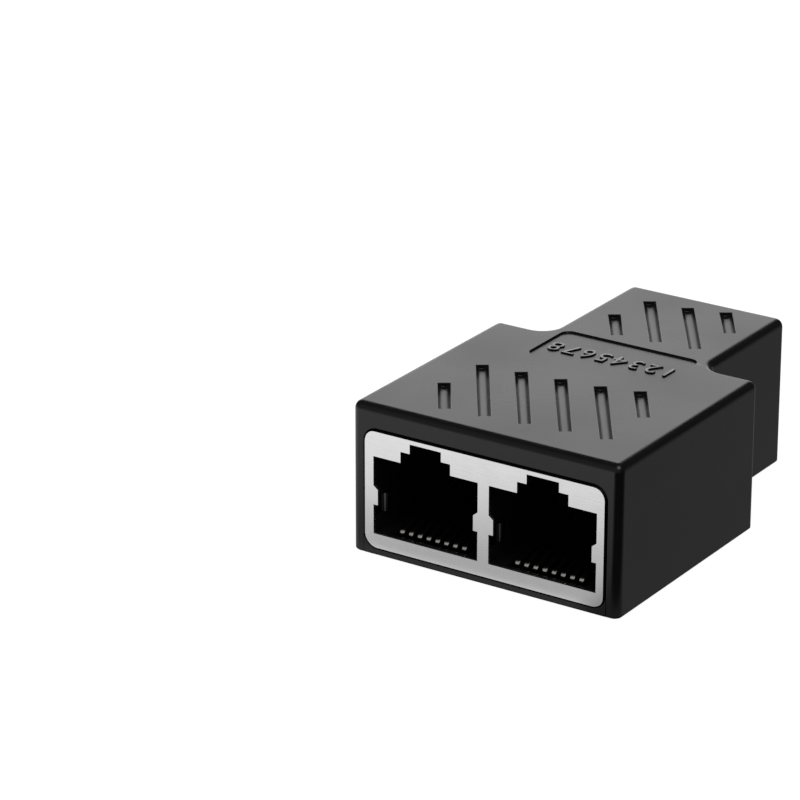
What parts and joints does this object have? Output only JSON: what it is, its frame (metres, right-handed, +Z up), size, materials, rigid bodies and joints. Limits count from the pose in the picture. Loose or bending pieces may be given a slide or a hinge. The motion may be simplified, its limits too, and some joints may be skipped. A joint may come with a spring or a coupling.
{
  "type": "network cable coupler",
  "caption": "T-shaped female network coupler: two shielded jacks at the front, one at the back, black moulded housing with slanted grip channels.",
  "frame": {"origin": "middle of the underside", "axes": "+Y from the two-jack face to the single-jack face, +Z up, +X to the right seen from the two-jack face"},
  "size_m": [0.03, 0.0428, 0.0156],
  "materials": {
    "housing_plastic": "black moulded plastic, very fine texture",
    "jack_plastic": "black moulded plastic, smooth",
    "shield_metal": "nickel-plated steel sheet, satin",
    "contact_metal": "phosphor bronze with bright gold flash",
    "board": "green solder mask over glass epoxy"
  },
  "bodies": {
    "root": {"upper_shell": "housing_plastic", "bottom_cover": "housing_plastic", "circuit_board": "board", "front_shield": "shield_metal", "front_jack_moulding": "jack_plastic", "left_contact_carrier": "jack_plastic", "right_contact_carrier": "jack_plastic", "rear_shield": "shield_metal", "rear_jack_moulding": "jack_plastic", "rear_contact_carrier": "jack_plastic", "left_contact_1": "contact_metal", "left_contact_2": "contact_metal", "left_contact_3": "contact_metal", "left_contact_4": "contact_metal", "left_contact_5": "contact_metal", "left_contact_6": "contact_metal", "left_contact_7": "contact_metal", "left_contact_8": "contact_metal", "right_contact_1": "contact_metal", "right_contact_2": "contact_metal", "right_contact_3": "contact_metal", "right_contact_4": "contact_metal", "right_contact_5": "contact_metal", "right_contact_6": "contact_metal", "right_contact_7": "contact_metal", "right_contact_8": "contact_metal", "rear_contact_1": "contact_metal", "rear_contact_2": "contact_metal", "rear_contact_3": "contact_metal", "rear_contact_4": "contact_metal", "rear_contact_5": "contact_metal", "rear_contact_6": "contact_metal", "rear_contact_7": "contact_metal", "rear_contact_8": "contact_metal"}
  },
  "joints": []
}
